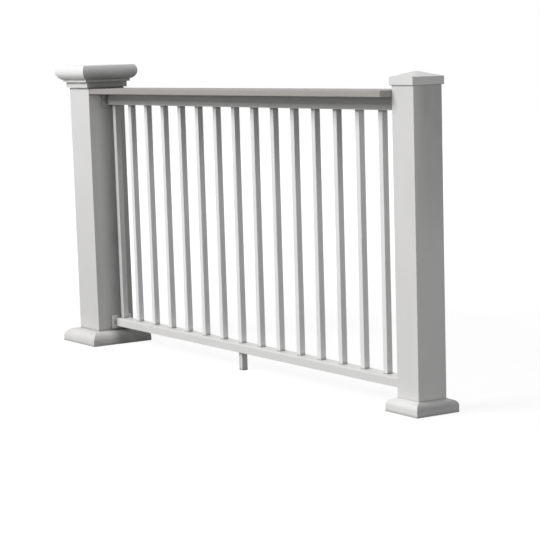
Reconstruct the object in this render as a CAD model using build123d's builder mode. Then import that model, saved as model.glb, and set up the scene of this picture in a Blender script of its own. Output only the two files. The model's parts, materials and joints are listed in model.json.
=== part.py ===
"""A railing section between two posts of different width, in millimetres.

The railing runs along +X, +Y points to its back and +Z points up. The origin is under the middle
of the left post's base plate, on the ground. The backs of the two posts are flush, so the narrower
right post stands a little behind the left one's centre line. Rails, balusters and foot follow the
right post's line, while the board follows the left post's.
"""
import os

from build123d import *

os.makedirs("parts", exist_ok=True)

# Posts: square tubes on bolted base plates
post_spacing = 1891.0
left_post_width = 145.0
right_post_width = 101.6
post_wall = 3.0
post_corner_radius = 1.5
plate_thickness = 10.0
bolt_hole_radius = 5.5
bolt_offset = 9.0
bolt_edge_distance = 10.0

# Skirts: hollow mouldings that hide the plates
skirt_wall = 4.0
skirt_plate_margin = 2.6
left_skirt_extra = 21.4
left_skirt_height = 47.5
left_skirt_plinth = 15.0
left_skirt_shoulder = 30.0
left_skirt_shoulder_inset = 24.5
right_skirt_height = 41.0
right_skirt_plinth = 20.0
right_skirt_shoulder = 16.0
right_skirt_shoulder_inset = 12.5

# Rails, board and what lies between them, from the ground up
rail_width = 48.0
rail_wall = 2.0
bottom_rail_clearance = 62.5
bottom_rail_height = 29.4
bottom_rail_radius = 6.0
board_top_height = 929.0
board_thickness = 19.0
board_width = 141.0
board_edge_radius = 2.5
top_rail_height = 39.5
top_rail_lip_height = 5.0
top_rail_lip_depth = 1.5

# Balusters: square tubes let into both rails
baluster_size = 20.0
baluster_wall = 1.5
baluster_corner_radius = 1.0
baluster_pitch = 116.0
first_baluster_gap = 31.0
least_last_gap = 40.0
foot_size = 20.0
foot_wall = 2.5

# Brackets at the four rail ends: a plate on the post and a spigot inside the rail
bracket_plate = 5.0
bracket_wall = 3.0
bracket_spigot = 10.0
bracket_plate_side = 17.0
bracket_plate_rise = 10.0
bracket_corner_radius = 3.0

# Crown cap on the left post
crown_clearance = 4.5
crown_collar_height = 19.7
crown_collar_overhang = 8.5
crown_band_height = 8.6
crown_band_overhang = 17.0
crown_nose_rise = 26.5
crown_nose_overhang = 38.5
crown_top_rise = 50.5
crown_top_overhang = 30.0

# Pyramid cap on the right post
pyramid_clearance = 13.0
pyramid_eave_height = 24.0
pyramid_eave_overhang = 5.0
pyramid_rise = 16.0
pyramid_edge_radius = 3.0

# Fits
cap_wall = 5.0
cap_ledge = 5.0
cap_socket = 20.0
fit_gap = 0.3

# Places that follow from the sizes above
left_face = left_post_width / 2
right_face = post_spacing - right_post_width / 2
set_back = (left_post_width - right_post_width) / 2
left_spot = (0, 0)
right_spot = (post_spacing, set_back)
board_underside = board_top_height - board_thickness
top_rail_underside = board_underside - top_rail_height
bottom_rail_top = bottom_rail_clearance + bottom_rail_height
crown_base_height = board_top_height + crown_clearance
pyramid_base_height = board_top_height + pyramid_clearance
left_post_top = crown_base_height + cap_socket
right_post_top = pyramid_base_height + cap_socket
rail_start = left_face + bracket_plate + fit_gap
rail_end = right_face - bracket_plate - fit_gap
first_baluster = left_face + first_baluster_gap
last_baluster_limit = right_face - least_last_gap
baluster_count = int((last_baluster_limit - first_baluster) / baluster_pitch) + 1
baluster_places = [first_baluster + n * baluster_pitch for n in range(baluster_count)]
baluster_spots = [(place, set_back) for place in baluster_places]
foot_spot = baluster_spots[baluster_count // 2]
baluster_bottom = bottom_rail_clearance + rail_wall
baluster_top = board_underside - rail_wall - fit_gap
baluster_hole = baluster_size + 2 * fit_gap
plate_overhang = bolt_offset + bolt_edge_distance
right_skirt_overhang = plate_overhang + skirt_plate_margin + skirt_wall
left_skirt_overhang = right_skirt_overhang + left_skirt_extra


def facing_front(x, y):
    """An upright plane through (x, y) that faces the front: its x is +X and its y is +Z."""
    return Plane(origin=(x, y, 0), x_dir=(1, 0, 0), z_dir=(0, -1, 0))


def facing_side(x, y):
    """An upright plane through (x, y) across the railing: its x is +Y and its y is +Z."""
    return Plane(origin=(x, y, 0), x_dir=(0, 1, 0), z_dir=(1, 0, 0))


def mitred(spot, reach, draw_half):
    """A square moulding about a post: one outline, crossed front to back and side to side."""
    with BuildPart() as moulding:
        for plane, mode in ((facing_front(*spot), Mode.ADD), (facing_side(*spot), Mode.INTERSECT)):
            with BuildSketch(plane):
                with BuildLine():
                    draw_half()
                    mirror(about=Plane.YZ)
                make_face()
            extrude(amount=reach, both=True, mode=mode)
    return moulding.part


def finish(builder, name):
    """Label a finished piece and write it."""
    builder.part.label = name
    export_step(builder.part, f"parts/{name}.step")


def make_base_plate(name, spot, post_width):
    """A square plate under a post, with a bolt hole at each corner outside the tube."""
    bolt_spacing = post_width + 2 * bolt_offset
    with BuildPart() as plate:
        with BuildSketch(Plane.XY):
            with Locations(spot):
                Rectangle(post_width + 2 * plate_overhang, post_width + 2 * plate_overhang)
            with Locations(spot):
                with GridLocations(bolt_spacing, bolt_spacing, 2, 2):
                    Circle(bolt_hole_radius, mode=Mode.SUBTRACT)
        extrude(amount=plate_thickness)
    finish(plate, name)


def make_post(name, spot, post_width, top):
    """A square tube that stands on its base plate."""
    inner_width = post_width - 2 * post_wall
    with BuildPart() as post:
        with BuildSketch(Plane.XY.offset(plate_thickness)):
            with Locations(spot):
                RectangleRounded(post_width, post_width, post_corner_radius)
                Rectangle(inner_width, inner_width, mode=Mode.SUBTRACT)
        extrude(amount=top - plate_thickness)
    finish(post, name)


def make_skirt(name, spot, post_width, overhang, height, plinth, shoulder, shoulder_inset):
    """A hollow moulding: an upright plinth, a round shoulder and a sloping top that meets the post."""
    post_half = post_width / 2
    hole = post_width + 2 * fit_gap

    def draw_half(inset):
        foot = (post_half + overhang - inset, 0)
        edge = (foot[0], plinth)
        shelf = (post_half + overhang - shoulder_inset - inset, plinth + shoulder - inset)
        crest = (post_half, height - inset)
        Polyline((0, 0), foot, edge)
        TangentArc(edge, shelf, tangent=(0, 1))
        Polyline(shelf, crest, (0, height - inset))

    reach = post_half + overhang
    with BuildPart() as skirt:
        add(mitred(spot, reach, lambda: draw_half(0)))
        add(mitred(spot, reach, lambda: draw_half(skirt_wall)), mode=Mode.SUBTRACT)
        with BuildSketch(Plane.XY):
            with Locations(spot):
                Rectangle(hole, hole)
        extrude(amount=height, mode=Mode.SUBTRACT)
    finish(skirt, name)


def cap_socket_hollow(spot, post_width, base, ceiling):
    """The room in a cap: a socket for the post's end and a narrower hollow above the ledge on the post."""
    socket_width = post_width + 2 * fit_gap
    hollow_width = post_width - 2 * post_wall - 2 * cap_ledge
    with BuildPart() as room:
        with BuildSketch(Plane.XY.offset(base)):
            with Locations(spot):
                Rectangle(socket_width, socket_width)
        extrude(amount=cap_socket)
        with BuildSketch(Plane.XY.offset(base + cap_socket)):
            with Locations(spot):
                Rectangle(hollow_width, hollow_width)
        extrude(amount=ceiling - base - cap_socket)
    return room.part


def make_bracket(name, face, way, underside, top, room_width, plate_top):
    """A rail bracket: a plate on the post's face and a hollow spigot that fits inside the rail's end."""
    plate_width = rail_width + 2 * bracket_plate_side
    plate_bottom = underside - bracket_plate_rise
    plate_middle = (plate_bottom + plate_top) / 2
    spigot_width = room_width - 2 * fit_gap
    spigot_height = top - underside - 2 * rail_wall - 2 * fit_gap
    spigot_middle = (underside + top) / 2
    with BuildPart() as bracket:
        with BuildSketch(facing_side(face, set_back)):
            with Locations((0, plate_middle)):
                RectangleRounded(plate_width, plate_top - plate_bottom, bracket_corner_radius)
        extrude(amount=way * bracket_plate)
        with BuildSketch(facing_side(face + way * bracket_plate, set_back)):
            with Locations((0, spigot_middle)):
                RectangleRounded(spigot_width, spigot_height, bottom_rail_radius - rail_wall)
                Rectangle(spigot_width - 2 * bracket_wall, spigot_height - 2 * bracket_wall,
                          mode=Mode.SUBTRACT)
        extrude(amount=way * bracket_spigot)
    finish(bracket, name)


def make_baluster(name, spot):
    """A square tube from the bottom rail's floor to just under the top rail's ceiling."""
    inner_size = baluster_size - 2 * baluster_wall
    with BuildPart() as baluster:
        with BuildSketch(Plane.XY.offset(baluster_bottom)):
            with Locations(spot):
                RectangleRounded(baluster_size, baluster_size, baluster_corner_radius)
                Rectangle(inner_size, inner_size, mode=Mode.SUBTRACT)
        extrude(amount=baluster_top - baluster_bottom)
    finish(baluster, name)


# Posts with their plates and skirts
make_base_plate("left_base_plate", left_spot, left_post_width)
make_base_plate("right_base_plate", right_spot, right_post_width)
make_post("left_post", left_spot, left_post_width, left_post_top)
make_post("right_post", right_spot, right_post_width, right_post_top)
make_skirt("left_skirt", left_spot, left_post_width, left_skirt_overhang, left_skirt_height,
           left_skirt_plinth, left_skirt_shoulder, left_skirt_shoulder_inset)
make_skirt("right_skirt", right_spot, right_post_width, right_skirt_overhang, right_skirt_height,
           right_skirt_plinth, right_skirt_shoulder, right_skirt_shoulder_inset)


# Crown cap: a collar round the post, a plain band and one fat round that swells to the nose
crown_collar_top = crown_base_height + crown_collar_height
crown_band_top = crown_collar_top + crown_band_height
crown_nose_height = crown_band_top + crown_nose_rise
crown_top = crown_band_top + crown_top_rise
crown_room_floor = left_post_top + cap_ledge
crown_collar = left_post_width / 2 + crown_collar_overhang
crown_band = left_post_width / 2 + crown_band_overhang
crown_nose = left_post_width / 2 + crown_nose_overhang
crown_crest = left_post_width / 2 + crown_top_overhang


def draw_crown_half():
    Polyline((0, crown_base_height), (crown_collar, crown_base_height), (crown_collar, crown_collar_top),
             (crown_band, crown_collar_top), (crown_band, crown_band_top))
    ThreePointArc((crown_band, crown_band_top), (crown_nose, crown_nose_height), (crown_crest, crown_top))
    Line((crown_crest, crown_top), (0, crown_top))


def draw_crown_room_half():
    wall = crown_band - cap_wall
    round_start = (wall, crown_band_top + cap_wall)
    round_end = (crown_crest - cap_wall, crown_top - cap_wall)
    Polyline((0, crown_room_floor), (wall, crown_room_floor), round_start)
    ThreePointArc(round_start, (crown_nose - cap_wall, crown_nose_height), round_end)
    Line(round_end, (0, round_end[1]))


with BuildPart() as left_crown_cap:
    add(mitred(left_spot, crown_nose, draw_crown_half))
    add(mitred(left_spot, crown_nose, draw_crown_room_half), mode=Mode.SUBTRACT)
    add(cap_socket_hollow(left_spot, left_post_width, crown_base_height, crown_room_floor), mode=Mode.SUBTRACT)
finish(left_crown_cap, "left_crown_cap")


# Pyramid cap: an eave with a rounded lower edge under four low slopes
pyramid_eave = right_post_width / 2 + pyramid_eave_overhang
pyramid_eave_top = pyramid_base_height + pyramid_eave_height


def draw_pyramid_half():
    round_start = (pyramid_eave - pyramid_edge_radius, pyramid_base_height)
    round_end = (pyramid_eave, pyramid_base_height + pyramid_edge_radius)
    Line((0, pyramid_base_height), round_start)
    TangentArc(round_start, round_end, tangent=(1, 0))
    Polyline(round_end, (pyramid_eave, pyramid_eave_top), (0, pyramid_eave_top + pyramid_rise))


with BuildPart() as right_pyramid_cap:
    add(mitred(right_spot, pyramid_eave, draw_pyramid_half))
    add(cap_socket_hollow(right_spot, right_post_width, pyramid_base_height, pyramid_eave_top),
        mode=Mode.SUBTRACT)
finish(right_pyramid_cap, "right_pyramid_cap")

# Top board: a plain plank with eased edges, tight between the posts and centred on the left one
with BuildPart() as top_board:
    with BuildSketch(facing_side(left_face, 0)):
        with Locations((0, board_underside + board_thickness / 2)):
            RectangleRounded(board_width, board_thickness, board_edge_radius)
    extrude(amount=right_face - left_face)
finish(top_board, "top_board")

# Top rail: a closed section with a lip along each lower edge, its floor punched for the balusters
top_rail_room = rail_width - 2 * top_rail_lip_depth - 2 * rail_wall
with BuildPart() as top_rail:
    with BuildSketch(facing_side(rail_start, set_back)):
        with Locations((0, top_rail_underside + top_rail_height / 2)):
            Rectangle(rail_width - 2 * top_rail_lip_depth, top_rail_height)
        with Locations((0, top_rail_underside + top_rail_lip_height / 2)):
            Rectangle(rail_width, top_rail_lip_height)
        with Locations((0, top_rail_underside + top_rail_height / 2)):
            Rectangle(top_rail_room, top_rail_height - 2 * rail_wall, mode=Mode.SUBTRACT)
    extrude(amount=rail_end - rail_start)
    with BuildSketch(Plane.XY.offset(top_rail_underside)):
        with Locations(*baluster_spots):
            Rectangle(baluster_hole, baluster_hole)
    extrude(amount=rail_wall, mode=Mode.SUBTRACT)
finish(top_rail, "top_rail")

# Bottom rail: a closed section with rounded upper edges, its roof punched for the balusters
with BuildPart() as bottom_rail:
    for inset, mode in ((0, Mode.ADD), (rail_wall, Mode.SUBTRACT)):
        with BuildSketch(facing_side(rail_start, set_back)) as section:
            with Locations((0, bottom_rail_clearance + bottom_rail_height / 2)):
                Rectangle(rail_width - 2 * inset, bottom_rail_height - 2 * inset)
            fillet(section.vertices().group_by(Axis.Y)[-1], bottom_rail_radius - inset)
        extrude(amount=rail_end - rail_start, mode=mode)
    with BuildSketch(Plane.XY.offset(bottom_rail_top - rail_wall)):
        with Locations(*baluster_spots):
            Rectangle(baluster_hole, baluster_hole)
    extrude(amount=rail_wall, mode=Mode.SUBTRACT)
finish(bottom_rail, "bottom_rail")

# Brackets: whole plates for the bottom rail, plates that end under the board for the top rail
bottom_rail_room = rail_width - 2 * rail_wall
bottom_plate_top = bottom_rail_top + bracket_plate_rise
for side, face, way in (("left", left_face, 1), ("right", right_face, -1)):
    make_bracket(f"bottom_{side}_bracket", face, way, bottom_rail_clearance, bottom_rail_top,
                 bottom_rail_room, bottom_plate_top)
    make_bracket(f"top_{side}_bracket", face, way, top_rail_underside, board_underside,
                 top_rail_room, board_underside)

# Balusters
for number, spot in enumerate(baluster_spots, start=1):
    make_baluster(f"baluster_{number:02d}", spot)

# Foot under the middle of the bottom rail
with BuildPart() as foot_block:
    with BuildSketch(Plane.XY):
        with Locations(foot_spot):
            Rectangle(foot_size, foot_size)
    extrude(amount=bottom_rail_clearance)
    with BuildSketch(Plane.XY.offset(foot_wall)):
        with Locations(foot_spot):
            Rectangle(foot_size - 2 * foot_wall, foot_size - 2 * foot_wall)
    extrude(amount=bottom_rail_clearance - foot_wall, mode=Mode.SUBTRACT)
finish(foot_block, "foot_block")
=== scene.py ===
# %% [markdown]
# # A white railing section
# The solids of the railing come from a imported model: posts, rails, balusters, caps, skirts, brackets and a
# board. This lesson gives them their finishes, adds the small fasteners that the solids leave out, and
# lights and frames the whole. Everything is in metres, with X along the railing, Y to its back and Z up.

# %% Load the frame
import json
import math

import bmesh
import bpy
from mathutils import Matrix, Vector


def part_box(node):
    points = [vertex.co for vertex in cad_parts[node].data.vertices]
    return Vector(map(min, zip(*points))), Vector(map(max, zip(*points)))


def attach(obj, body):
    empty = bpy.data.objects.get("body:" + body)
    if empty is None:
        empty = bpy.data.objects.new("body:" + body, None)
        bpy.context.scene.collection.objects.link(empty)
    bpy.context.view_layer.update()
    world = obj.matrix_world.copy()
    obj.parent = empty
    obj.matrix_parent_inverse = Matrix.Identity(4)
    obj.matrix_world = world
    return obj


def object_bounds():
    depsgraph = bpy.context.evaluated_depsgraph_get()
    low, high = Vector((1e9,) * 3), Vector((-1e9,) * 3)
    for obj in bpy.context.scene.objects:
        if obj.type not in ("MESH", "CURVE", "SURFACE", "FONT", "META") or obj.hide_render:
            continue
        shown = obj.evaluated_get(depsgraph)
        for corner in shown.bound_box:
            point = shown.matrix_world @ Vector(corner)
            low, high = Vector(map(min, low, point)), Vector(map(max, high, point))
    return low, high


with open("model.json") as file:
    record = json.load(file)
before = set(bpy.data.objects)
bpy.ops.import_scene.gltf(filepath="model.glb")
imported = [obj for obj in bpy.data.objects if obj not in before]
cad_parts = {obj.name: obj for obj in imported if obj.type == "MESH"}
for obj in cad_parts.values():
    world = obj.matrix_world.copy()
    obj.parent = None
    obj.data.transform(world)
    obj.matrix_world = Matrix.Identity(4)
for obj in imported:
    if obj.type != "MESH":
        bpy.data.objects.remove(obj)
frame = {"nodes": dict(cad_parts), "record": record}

scene = bpy.context.scene
nodes = frame["nodes"]
cad_low, cad_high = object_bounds()
print("nodes:", len(nodes), "box:", [round(x, 3) for x in (*cad_low, *cad_high)])

# %% [markdown]
# ## The camera
# The camera stands in front of the right end, a little above the board, and looks along the railing.
# A long lens keeps the uprights almost parallel. A constraint could aim the camera at the railing's middle,
# but three turns say more: one about Z aims it, one about X tilts it down, and a last small one about its
# own axis gives the slight lean that a hand-held camera has. The shift slides the picture up inside the
# frame, as a crop does, without changing how the uprights converge.

# %% Camera
camera_place = Vector((6.2554, -3.3016, 1.0656))
camera_yaw = math.radians(-57.286)
camera_pitch = math.radians(9.079)
camera_roll = math.radians(1.737)
picture_pixels = 540
focal_pixels = 1913.6
picture_shift = 0.15
sensor_millimetres = 36.0

camera_data = bpy.data.cameras.new("camera")
camera_data.sensor_width = sensor_millimetres
camera_data.lens = focal_pixels * sensor_millimetres / picture_pixels
camera_data.shift_y = picture_shift
camera = bpy.data.objects.new("camera", camera_data)
camera.matrix_world = (
    Matrix.Translation(camera_place)
    @ Matrix.Rotation(-camera_yaw, 4, "Z")
    @ Matrix.Rotation(math.pi / 2 - camera_pitch, 4, "X")
    @ Matrix.Rotation(-camera_roll, 4, "Z")
)
scene.collection.objects.link(camera)
scene.camera = camera
print("lens:", round(camera_data.lens, 1), "mm")

# %% [markdown]
# ## Helpers for node trees
# A material is a tree of nodes. Adding a node, setting its values and linking it takes several lines each
# time, so one helper does it: an input that is given a socket is linked, any other value is set. The other
# helpers are the few nodes that all the finishes share. Every noise takes its size in metres, because the
# Object coordinates of these pieces are metres too.

# %% Node helper
def add_node(tree, kind, settings=None, inputs=None):
    """Add a node of that kind; inputs maps socket names or numbers to values or to sockets."""
    made = tree.nodes.new(kind)
    for key, value in (settings or {}).items():
        setattr(made, key, value)
    for key, value in (inputs or {}).items():
        if isinstance(value, bpy.types.NodeSocket):
            tree.links.new(value, made.inputs[key])
        else:
            made.inputs[key].default_value = value
    return made


def start_material(name):
    """A new material with an empty tree, and its Object coordinates."""
    material = bpy.data.materials.new(name)
    material.use_nodes = True
    tree = material.node_tree
    tree.nodes.clear()
    coords = add_node(tree, "ShaderNodeTexCoord").outputs["Object"]
    return material, tree, coords


print("node helpers ready")

# %% Values
noise_roughness = 0.55


def noise(tree, coords, size, detail, stretch=(1.0, 1.0, 1.0)):
    """Noise with features of about that size in metres, drawn out along an axis where stretch is small."""
    scaled = add_node(tree, "ShaderNodeMapping", inputs={"Vector": coords, "Scale": stretch})
    made = add_node(tree, "ShaderNodeTexNoise", inputs={
        "Vector": scaled.outputs["Vector"], "Scale": 1.0 / size, "Detail": detail,
        "Roughness": noise_roughness})
    return made.outputs["Fac"]


def remap(tree, value, low, high, to_low=0.0, to_high=1.0):
    """Map a range of values onto another one, clamped and smooth."""
    made = add_node(tree, "ShaderNodeMapRange", {"interpolation_type": "SMOOTHSTEP"}, {
        "Value": value, "From Min": low, "From Max": high, "To Min": to_low, "To Max": to_high})
    return made.outputs["Result"]


def marks(tree, coords, size, detail, between, stretch=(1.0, 1.0, 1.0), to_low=0.0, to_high=1.0):
    """Noise cut to a range, so that it makes marks with plain gaps between them."""
    return remap(tree, noise(tree, coords, size, detail, stretch), *between, to_low, to_high)


def combine(tree, operation, first, second):
    """One step of arithmetic with two values."""
    return add_node(tree, "ShaderNodeMath", {"operation": operation}, {0: first, 1: second}).outputs[0]


def multiply(tree, first, second):
    """The product of two values."""
    return combine(tree, "MULTIPLY", first, second)


print("value helpers ready")

# %% Colours and surfaces
mix_share, mix_first, mix_second, mix_result = 0, 6, 7, 2


def mix_colours(tree, share, first, second):
    """Blend from the first colour to the second by share; the sockets have numbers, as names repeat."""
    made = add_node(tree, "ShaderNodeMix", {"data_type": "RGBA"}, {
        mix_share: share, mix_first: first, mix_second: second})
    return made.outputs[mix_result]


def bump(tree, height, strength, distance):
    """A bump from a height."""
    made = add_node(tree, "ShaderNodeBump", inputs={
        "Height": height, "Strength": strength, "Distance": distance})
    return made.outputs["Normal"]


def surface(tree, inputs):
    """End the tree in one principled surface."""
    shader = add_node(tree, "ShaderNodeBsdfPrincipled", inputs=inputs)
    add_node(tree, "ShaderNodeOutputMaterial", inputs={"Surface": shader.outputs["BSDF"]})


print("colour helpers ready")

# %% [markdown]
# ## Painted side shade and corner shade
# The faces that look along +X lie in soft shade, and here that shade is painted into the colour as a
# patchy grey. A mask could be painted for it, but here it is found from the shape. On a post, a point belongs
# to that side if it lies in the side's quarter as seen from the post's middle, so the painted shade stops at
# the arris. The balusters share one finish, so there the face's normal decides. Inner corners get painted
# shade too; Ambient Occlusion finds them, because nearby pieces hide the sky there.

# %% Painted side shade
arris_blend = 0.001
skin_start, skin_end = 0.0013, 0.0003
side_shade_marks = {"size": 0.06, "detail": 4.0, "between": (0.25, 0.65), "stretch": (1.0, 1.0, 0.4)}
side_shade_thinnest = 0.75
facing_start, facing_full = 0.5, 0.9


def side_shade_share(tree, coords, post, depth, most, heights=None):
    """Patchy painted shade on the +X side of a post: it grows from front to back, and may grow between
    heights.
    """
    low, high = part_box(post)
    half_width = (high.x - low.x) / 2
    centred = add_node(tree, "ShaderNodeMapping", inputs={
        "Vector": coords, "Location": (-(low.x + high.x) / 2, -(low.y + high.y) / 2, 0.0)})
    split = add_node(tree, "ShaderNodeSeparateXYZ", inputs={0: centred.outputs["Vector"]})
    x, y = split.outputs["X"], split.outputs["Y"]
    ahead = remap(tree, combine(tree, "ADD", x, y), -arris_blend, arris_blend)
    behind = remap(tree, combine(tree, "SUBTRACT", x, y), -arris_blend, arris_blend)
    skin = remap(tree, x, half_width - skin_start, half_width - skin_end)
    outside = multiply(tree, multiply(tree, ahead, behind), skin)
    patches = marks(tree, coords, **side_shade_marks, to_low=side_shade_thinnest * most, to_high=most)
    share = multiply(tree, multiply(tree, outside, patches), remap(tree, y, *depth))
    return multiply(tree, share, remap(tree, split.outputs["Z"], *heights)) if heights else share


def facing_share(tree):
    """1 on faces that look along +X, 0 on all others."""
    normal = add_node(tree, "ShaderNodeNewGeometry").outputs["Normal"]
    along = add_node(tree, "ShaderNodeSeparateXYZ", inputs={0: normal}).outputs["X"]
    return remap(tree, along, facing_start, facing_full)


print("film: thinnest", side_shade_thinnest, "of its most")

# %% Painted corner shade
corner_samples = 16
open_sky, hidden_sky = 0.85, 0.4


def corner_shade_share(tree, reach, most):
    """Painted shade in inner corners, found by how much of the sky nearby pieces hide."""
    corner = add_node(tree, "ShaderNodeAmbientOcclusion", {"samples": corner_samples}, {"Distance": reach})
    return remap(tree, corner.outputs["AO"], open_sky, hidden_sky, 0.0, most)


print("packed soil: rays per point", corner_samples)

# %% [markdown]
# ## White powder coat
# The posts, rails and balusters are aluminium under a baked white powder coat, and the caps, skirts and
# brackets are moulded in a white that is close to it. Such a coat is never quite even: it has a faint orange
# peel, a little cloudiness, grey rain marks that run down the uprights, and some soil where rain splashes up
# from the ground. An image could hold all that, but one noise for each, at its own size, needs no unwrapping
# and stays sharp close up. The marks are laid over the white one after the other.

# %% Marks and tints
cloud_marks = {"size": 0.22, "detail": 3.0, "between": (0.35, 0.7)}
rain_marks = {"size": 0.018, "detail": 4.0, "between": (0.52, 0.75), "stretch": (1.0, 1.0, 0.05)}
splash_marks = {"size": 0.05, "detail": 3.0, "between": (0.3, 0.7)}
gloss_marks = {"size": 0.03, "detail": 3.0, "between": (0.3, 0.7)}
splash_height = 0.09
rain_most, splash_most, corner_shade_most = 0.5, 0.25, 0.75
# The last two tints are painted shade: one for the +X sides, one for inner corners.
tints = {
    "cloudy": (0.97, 0.97, 0.97), "rained": (0.93, 0.94, 0.94), "greyed": (0.70, 0.70, 0.68),
    "soiled": (0.74, 0.71, 0.66), "shade_grey": (0.37, 0.376, 0.36), "corner_shade": (0.24, 0.235, 0.22)}


def tinted(colour, tint):
    """What a tint leaves of a white, with alpha."""
    return (*(part * share for part, share in zip(colour, tints[tint])), 1.0)


print("tints:", *tints)

# %% Powder coat
polish, dulling = 0.06, 0.08
coat_specular = 0.25
peel_size, peel_detail, peel_depth = 0.0016, 1.0, 0.0002
usual_corner = 0.02


def make_coat(name, colour, roughness, peel, side_shade=None, darker_downwards=None, under_board_shade=None,
              corner_reach=usual_corner):
    """A white coat with its marks; it may darken downwards, carries painted shade in inner corners, and may
    carry painted shade high up or on one side.
    """
    material, tree, coords = start_material(name)
    height = add_node(tree, "ShaderNodeSeparateXYZ", inputs={0: coords}).outputs["Z"]
    clouds = marks(tree, coords, **cloud_marks)
    rain = marks(tree, coords, **rain_marks)
    splash = multiply(tree, remap(tree, height, splash_height, 0.0), marks(tree, coords, **splash_marks))

    paint = mix_colours(tree, clouds, (*colour, 1.0), tinted(colour, "cloudy"))
    paint = mix_colours(tree, multiply(tree, rain, rain_most), paint, tinted(colour, "rained"))
    # Darker towards the foot on the left post; on the crown cap this is painted shade under its nose.
    if darker_downwards:
        grey = remap(tree, height, darker_downwards["top"], darker_downwards["foot"], 0.0, darker_downwards["most"])
        paint = mix_colours(tree, grey, paint, tinted(colour, "greyed"))
    paint = mix_colours(tree, multiply(tree, splash, splash_most), paint, tinted(colour, "soiled"))
    # Painted shade from the board above, on faces that look along +X, growing towards the top.
    if under_board_shade:
        shaded = remap(tree, height, under_board_shade["unshaded"], under_board_shade["shaded"], 0.0, under_board_shade["most"])
        paint = mix_colours(tree, multiply(tree, facing_share(tree), shaded), paint, tinted(colour, "shade_grey"))
    # Painted shade on the +X side of a post, patchy.
    if side_shade:
        paint = mix_colours(tree, side_shade_share(tree, coords, **side_shade), paint, tinted(colour, "shade_grey"))
    # Painted shade in inner corners, from Ambient Occlusion.
    paint = mix_colours(tree, corner_shade_share(tree, corner_reach, corner_shade_most), paint, tinted(colour, "corner_shade"))

    gloss = marks(tree, coords, **gloss_marks, to_low=roughness - polish, to_high=roughness + dulling)
    peel_height = noise(tree, coords, peel_size, peel_detail)
    surface(tree, {
        "Base Color": paint, "Roughness": gloss, "Specular IOR Level": coat_specular,
        "Normal": bump(tree, peel_height, peel, peel_depth)})
    return material


print("coat: peel", 1000 * peel_size, "mm across")

# %% [markdown]
# ## The whites
# The pieces differ a little in their white. The posts, the lower rail and the left skirt have the plain
# white. The pyramid cap is a little whiter, the balusters and the right skirt are brighter still, and the
# crown cap is the whitest of all, as a painted highlight for the light its rounded top catches. The upper
# rail is greyer, as painted shade from the board above it. One function makes all the coats, because they
# differ only in their white, their gloss, their painted shade and how far they darken downwards.

# %% The whites
white = (0.75, 0.743, 0.725)
# The upper rail's greyer white is painted shade from the board above it.
under_board_shade_white = (0.56, 0.558, 0.54)
fresh_white = (0.80, 0.795, 0.78)
bright_white = (0.86, 0.858, 0.85)
# The crown's white is raised as a painted highlight for the light its rounded top catches.
crown_lit_white = (0.90, 0.895, 0.885)
coat_gloss, coat_peel = 0.42, 0.12
trim_gloss, trim_peel = 0.5, 0.06
print("whites:", white, under_board_shade_white, fresh_white, bright_white, crown_lit_white)

# %% [markdown]
# ## Who carries painted shade
# Painted shade is heaviest on the +X side of the left post and its skirt, from a clean front edge backwards,
# and on that side of the crown cap, downwards from its top. The first baluster, close to that post, has a
# thin coat of it all round. On the right post it shows high up, and on its skirt above the foot. The
# balusters have painted shade close under the rail, apart from the last two. The left post also darkens
# towards its foot, and the crown cap is painted darker under its nose as painted shade. Each could be a
# material of its own, but as values for one function they can be compared at a glance. A depth is measured
# from a post's middle, and a pair runs from where a mark starts to where it is full.

# %% Painted shade on each piece
all_depths = (-0.2, -0.15)
left_side_shade = {"post": "left_post", "depth": (-0.05, 0.004), "most": 0.7}
left_skirt_side_shade = {"post": "left_post", "depth": (-0.056, 0.004), "most": 1.0}
crown_side_shade = {"post": "left_post", "depth": all_depths, "most": 0.95, "heights": (1.012, 0.965)}
first_side_shade = {"post": "left_post", "depth": all_depths, "most": 0.33}
right_side_shade = {"post": "right_post", "depth": (-0.06, 0.0), "most": 0.45, "heights": (0.35, 0.9)}
right_skirt_side_shade = {"post": "right_post", "depth": all_depths, "most": 0.6, "heights": (-0.02, 0.03)}
baluster_board_shade = {"unshaded": 0.55, "shaded": 0.88, "most": 0.68}
post_greying = {"top": 0.9, "foot": 0.0, "most": 0.47}
crown_nose_shade = {"top": 0.988, "foot": 0.968, "most": 0.65}
crown_corner = 0.04
print("most film:", left_skirt_side_shade["most"], "least:", first_side_shade["most"])

# %% Coats
coat = make_coat("white_powder_coat", white, coat_gloss, coat_peel)
under_board_shade_coat = make_coat("under_board_shade_powder_coat", under_board_shade_white, coat_gloss, coat_peel)
end_coat = make_coat("bright_powder_coat", bright_white, coat_gloss, coat_peel)
row_coat = make_coat("baluster_row_coat", bright_white, coat_gloss, coat_peel, under_board_shade=baluster_board_shade)
first_coat = make_coat(
    "first_baluster_coat", bright_white, coat_gloss, coat_peel, first_side_shade, under_board_shade=baluster_board_shade)
left_coat = make_coat("left_post_coat", white, coat_gloss, coat_peel, left_side_shade, post_greying)
right_coat = make_coat("right_post_coat", white, coat_gloss, coat_peel, right_side_shade)
moulding = make_coat("white_moulded_trim", white, trim_gloss, trim_peel)
left_trim = make_coat("left_skirt_trim", white, trim_gloss, trim_peel, left_skirt_side_shade)
right_trim = make_coat("right_skirt_trim", bright_white, trim_gloss, trim_peel, right_skirt_side_shade)
pyramid_trim = make_coat("pyramid_cap_trim", fresh_white, trim_gloss, trim_peel)
crown_trim = make_coat(
    "crown_cap_trim", crown_lit_white, trim_gloss, trim_peel, crown_side_shade, crown_nose_shade,
    corner_reach=crown_corner)
print("coats:", sum(made.name.endswith(("coat", "trim")) for made in bpy.data.materials))

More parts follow.
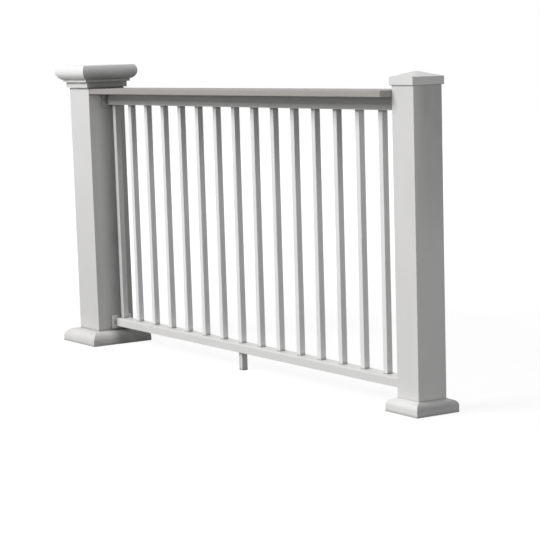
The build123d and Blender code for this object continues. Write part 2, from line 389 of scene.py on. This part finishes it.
# %% [markdown]
# ## The board
# The board is a capped composite plank, greyer and warmer than the coat. Its shallow embossed grain runs
# along X. A wood texture with rings would show the curves of a sawn log, which an embossed plank lacks, so
# the grain is plain noise, drawn out along X, once for the broad bands and once for the fine lines.

# %% Board
band_marks = {"size": 0.03, "detail": 4.0, "between": (0.3, 0.7), "stretch": (0.04, 1.0, 1.0)}
grain_noise = {"size": 0.0035, "detail": 5.0, "stretch": (0.02, 1.0, 1.0)}
grain_between, grain_most = (0.45, 0.75), 0.4
grain_strength, grain_depth = 0.35, 0.0006
pale_band = (0.41, 0.393, 0.367, 1.0)
dark_band = (0.37, 0.356, 0.336, 1.0)
grain_line = (0.31, 0.293, 0.268, 1.0)
board_roughness, board_specular = 0.62, 0.25


def make_board():
    """A warm grey plank with long grain, paler and darker bands and a rough face."""
    material, tree, coords = start_material("grey_composite_board")
    grain_height = noise(tree, coords, **grain_noise)
    grain = multiply(tree, remap(tree, grain_height, *grain_between), grain_most)
    face = mix_colours(tree, marks(tree, coords, **band_marks), pale_band, dark_band)
    face = mix_colours(tree, grain, face, grain_line)
    surface(tree, {
        "Base Color": face, "Roughness": board_roughness, "Specular IOR Level": board_specular,
        "Normal": bump(tree, grain_height, grain_strength, grain_depth)})
    return material


board = make_board()
print("board:", board.name)

# %% [markdown]
# ## Bare metal
# The base plates under the skirts are plain mill aluminium. It is a metal, so its colour is the colour of
# its reflection. A flat grey would do for plates that hardly show, but fine streaks along X cost little
# and show how the plate was rolled.

# %% Plate metal
plate_grey = (0.70, 0.70, 0.71)
plate_roughness, plate_swing = 0.45, 0.08
streak_noise = {"size": 0.002, "detail": 3.0, "stretch": (0.05, 1.0, 1.0)}
streak_between, streak_dark = (0.3, 0.7), 0.8


def make_metal():
    """Mill aluminium with fine rolling streaks along X."""
    material, tree, coords = start_material("mill_aluminium")
    streaks = noise(tree, coords, **streak_noise)
    dark_grey = [streak_dark * part for part in plate_grey]
    tone = mix_colours(tree, streaks, (*plate_grey, 1.0), (*dark_grey, 1.0))
    smooth, rough = plate_roughness - plate_swing, plate_roughness + plate_swing
    gloss = remap(tree, streaks, *streak_between, smooth, rough)
    surface(tree, {"Base Color": tone, "Roughness": gloss, "Metallic": 1.0})
    return material


plate_metal = make_metal()
print("plates:", plate_metal.name)

# %% [markdown]
# ## Dress the solids
# The record says what each solid is made of, and that picks its finish. The pieces with a finish of their own
# are listed apart. Only the material slots change: the solids keep their meshes and stay where they are.

# %% Dress the solids
finishes = {"coated_aluminium": coat, "moulding": moulding, "board": board, "plate": plate_metal}
# The posts, skirts, caps, upper bracket, upper rail and balusters get coats that carry painted shade.
special = {name: row_coat for name in nodes if name.startswith("baluster")}
special.update({
    "left_post": left_coat, "left_skirt": left_trim, "left_crown_cap": crown_trim,
    "right_post": right_coat, "right_skirt": right_trim, "right_pyramid_cap": pyramid_trim,
    "top_rail": under_board_shade_coat, "top_left_bracket": left_coat, "baluster_01": first_coat,
    "baluster_14": end_coat, "baluster_15": end_coat})
for entry in frame["record"]["subparts"]:
    solid = nodes[entry["node"]]
    solid.data.materials.clear()
    solid.data.materials.append(special.get(entry["node"], finishes[entry["material_slot"]]))

# %% [markdown]
# ## Bracket screws
# Two pan-head screws hold the plate of each rail bracket to its post, one on either wing. They are coated to
# match their plate. A head is a short cylinder with a rounded rim and a six-lobed socket: a cone with two
# equal radii gives the cylinder, a bevel rounds the rim, and two insets, the second one sunk, make the
# socket. Sinking an inset keeps the shape closed, where an extrusion would have to be cleaned up after.

# %% Screw head
head_radius = 0.0046
head_height = 0.0026
head_sides = 24
rim_round = 0.0011
socket_margin = 0.0012
socket_lobes = 6
socket_waist = 0.72
socket_taper = 0.0001
socket_depth = 0.0012
seat_sink = 0.0001


def add_head(shape, place, way):
    """Add a pan head at place, facing along +X or -X."""
    first = len(shape.verts)
    made = bmesh.ops.create_cone(shape, cap_ends=True, segments=head_sides, radius1=head_radius,
                                 radius2=head_radius, depth=head_height)
    rim = {e for v in made["verts"] for e in v.link_edges if all(end.co.z > 0 for end in e.verts)}
    bmesh.ops.bevel(shape, geom=list(rim), offset=rim_round, segments=3, profile=0.5,
                    affect="EDGES", material=-1)
    shape.verts.ensure_lookup_table()
    fresh = set(shape.verts[first:])
    top = max((f for f in shape.faces if f.verts[0] in fresh), key=lambda f: f.calc_center_median().z)
    bmesh.ops.inset_region(shape, faces=[top], thickness=socket_margin)
    lobe_sides = head_sides // socket_lobes
    for number, vert in enumerate(top.verts):
        if number % lobe_sides < lobe_sides // 2:
            vert.co.xy *= socket_waist
    bmesh.ops.inset_region(shape, faces=[top], thickness=socket_taper, depth=-socket_depth)
    shape.verts.ensure_lookup_table()
    turn = Matrix.Rotation(way * math.pi / 2, 4, "Y")
    seat = place + Vector((way * (head_height / 2 - seat_sink), 0.0, 0.0))
    bmesh.ops.transform(shape, matrix=Matrix.Translation(seat) @ turn, verts=shape.verts[first:])


print("screw head:", round(2000 * head_radius, 1), "mm across")

# %% Screws
plate_thickness = 0.005
wing_middle = 0.0085

for bracket in ("bottom_left_bracket", "bottom_right_bracket", "top_left_bracket", "top_right_bracket"):
    low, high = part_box(bracket)
    way = 1 if "left" in bracket else -1
    face_x = low.x + plate_thickness if way > 0 else high.x - plate_thickness
    shape = bmesh.new()
    for wing_y in (low.y + wing_middle, high.y - wing_middle):
        add_head(shape, Vector((face_x, wing_y, (low.z + high.z) / 2)), way)
    screw_mesh = bpy.data.meshes.new(f"{bracket}_screws")
    shape.to_mesh(screw_mesh)
    shape.free()
    screw_mesh.materials.append(nodes[bracket].data.materials[0])
    screws = bpy.data.objects.new(f"{bracket}_screws", screw_mesh)
    scene.collection.objects.link(screws)
    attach(screws, "root")
    print(screws.name, len(screw_mesh.polygons), "faces")

# %% [markdown]
# ## The world
# The world fills the shade: palest at the right, paler behind at the left than in front, and dark above. An
# image of a sky could do it, but three directions are enough for so plain an object, and each can be set by
# itself. To the camera the world is plain white, and Light Path keeps that white apart from the light.

# %% World
front_fill = (0.15, 0.153, 0.158, 1.0)
back_fill = {"way": (-0.7, 0.7, 0.0), "between": (0.1, 0.9), "tone": (0.31, 0.314, 0.32, 1.0)}
right_fill = {"way": (0.95, -0.3, 0.0), "between": (0.3, 0.9), "tone": (0.82, 0.83, 0.845, 1.0)}
high_fill = {"way": (0.0, 0.0, 1.0), "between": (0.15, 0.75), "tone": (0.18, 0.184, 0.19, 1.0)}
plain_white = (1.0, 1.0, 1.0, 1.0)


def direction_share(tree, way, low, high):
    """How far a ray points along a direction, from 0 at low to 1 at high."""
    ray = add_node(tree, "ShaderNodeTexCoord").outputs["Generated"]
    along = add_node(tree, "ShaderNodeVectorMath", {"operation": "DOT_PRODUCT"}, {0: ray, 1: way})
    return remap(tree, along.outputs["Value"], low, high)


def seen_directly(tree):
    """1 for rays from the camera, from glossy surfaces and through glass."""
    path = add_node(tree, "ShaderNodeLightPath")
    found = path.outputs["Is Camera Ray"]
    for other in ("Is Glossy Ray", "Is Transmission Ray"):
        found = combine(tree, "MAXIMUM", found, path.outputs[other])
    return found


world = bpy.data.worlds.new("soft_daylight")
world.use_nodes = True
scene.world = world
sky = world.node_tree
sky.nodes.clear()
fill_tone = front_fill
for part in (back_fill, right_fill, high_fill):
    share = direction_share(sky, part["way"], *part["between"])
    fill_tone = mix_colours(sky, share, fill_tone, part["tone"])
fill = add_node(sky, "ShaderNodeBackground", inputs={"Color": fill_tone, "Strength": 1.0})
backdrop = add_node(sky, "ShaderNodeBackground", inputs={"Color": plain_white, "Strength": 1.0})
either = add_node(sky, "ShaderNodeMixShader", inputs={
    0: seen_directly(sky), 1: fill.outputs[0], 2: backdrop.outputs[0]})
add_node(sky, "ShaderNodeOutputWorld", inputs={"Surface": either.outputs[0]})
print("world:", world.name)

# %% [markdown]
# ## Lamps
# A broad soft lamp stands in front and to the left, so that the front faces are light and the ends of the
# posts lie in soft shade. A weaker one behind keeps the back from going dark: it stands far enough to the
# left to leave those ends alone. A small low card lifts the foot of the right post. Sun lamps could take the
# place of the two big squares, but the size of a square says at once how soft its shadows are.

# %% Lamps
middle = (cad_low + cad_high) / 2
lamp_distance = 14.0
lamp_size = 8.0
key_lamp = {"name": "key", "bearing": -14.0, "height": 35.0, "watts": 1790.0}
back_lamp = {"name": "back", "bearing": -150.0, "height": 14.0, "watts": 820.0}
card_place = Vector((3.6, -0.5, 0.15))
card_target = Vector((1.9, 0.0, 0.4))
card_size, card_watts = 0.8, 3.2


def add_lamp(name, place, target, size, watts):
    """A square soft lamp at place that points at target."""
    lamp_data = bpy.data.lights.new(name, "AREA")
    lamp_data.size = size
    lamp_data.energy = watts
    lamp = bpy.data.objects.new(name, lamp_data)
    aim = (target - place).to_track_quat("-Z", "Y").to_matrix().to_4x4()
    lamp.matrix_world = Matrix.Translation(place) @ aim
    lamp.visible_camera = False
    scene.collection.objects.link(lamp)


for big in (key_lamp, back_lamp):
    turn, rise = math.radians(big["bearing"]), math.radians(big["height"])
    way = Vector((math.sin(turn) * math.cos(rise), -math.cos(turn) * math.cos(rise), math.sin(rise)))
    add_lamp(big["name"], middle + lamp_distance * way, middle, lamp_size, big["watts"])
add_lamp("low_card", card_place, card_target, card_size, card_watts)

# %% [markdown]
# ## The floor
# The floor looks like a sheet of white paper that runs up behind the object. A truly white floor would throw
# too much light up under the rails, so this one is a dark grey with a white glow that only lights what sees
# it directly or mirrored. Near the railing part of its white comes from the lamps, so that the shadow stays;
# further off it is all its own.

# %% Floor
floor_reach = 14.0
floor_mesh = bpy.data.meshes.new("floor")
shape = bmesh.new()
bmesh.ops.create_grid(shape, x_segments=1, y_segments=1, size=floor_reach)
bmesh.ops.translate(shape, verts=shape.verts, vec=(middle.x, middle.y, 0.0))
shape.to_mesh(floor_mesh)
shape.free()
floor = bpy.data.objects.new("floor", floor_mesh)
scene.collection.objects.link(floor)
print("floor:", 2 * floor_reach, "m across")

# %% Paper
shadow_near = 1.2
shadow_far = 3.5
near_white = 0.87
paper_grey = (0.17, 0.17, 0.17, 1.0)

paper, tree, coords = start_material("pale_paper")
centred = add_node(tree, "ShaderNodeMapping", inputs={
    "Vector": coords, "Location": (-middle.x, -middle.y, 0.0)}).outputs["Vector"]
reach = add_node(tree, "ShaderNodeVectorMath", {"operation": "LENGTH"}, {0: centred}).outputs["Value"]
own_white = remap(tree, reach, shadow_near, shadow_far, near_white, 1.0)
lit = add_node(tree, "ShaderNodeBsdfDiffuse", inputs={"Color": paper_grey})
glow = add_node(tree, "ShaderNodeEmission", inputs={
    "Color": plain_white, "Strength": multiply(tree, own_white, seen_directly(tree))})
both = add_node(tree, "ShaderNodeAddShader", inputs={0: lit.outputs[0], 1: glow.outputs[0]})
add_node(tree, "ShaderNodeOutputMaterial", inputs={"Surface": both.outputs[0]})
floor_mesh.materials.append(paper)
print("paper: own white from", near_white, "to 1.0")

# %% [markdown]
# ## Finish
# The Standard view transform shows the tones as they were mixed, where a filmic one would grey the whites.

# %% Finish
scene.view_settings.view_transform = "Standard"
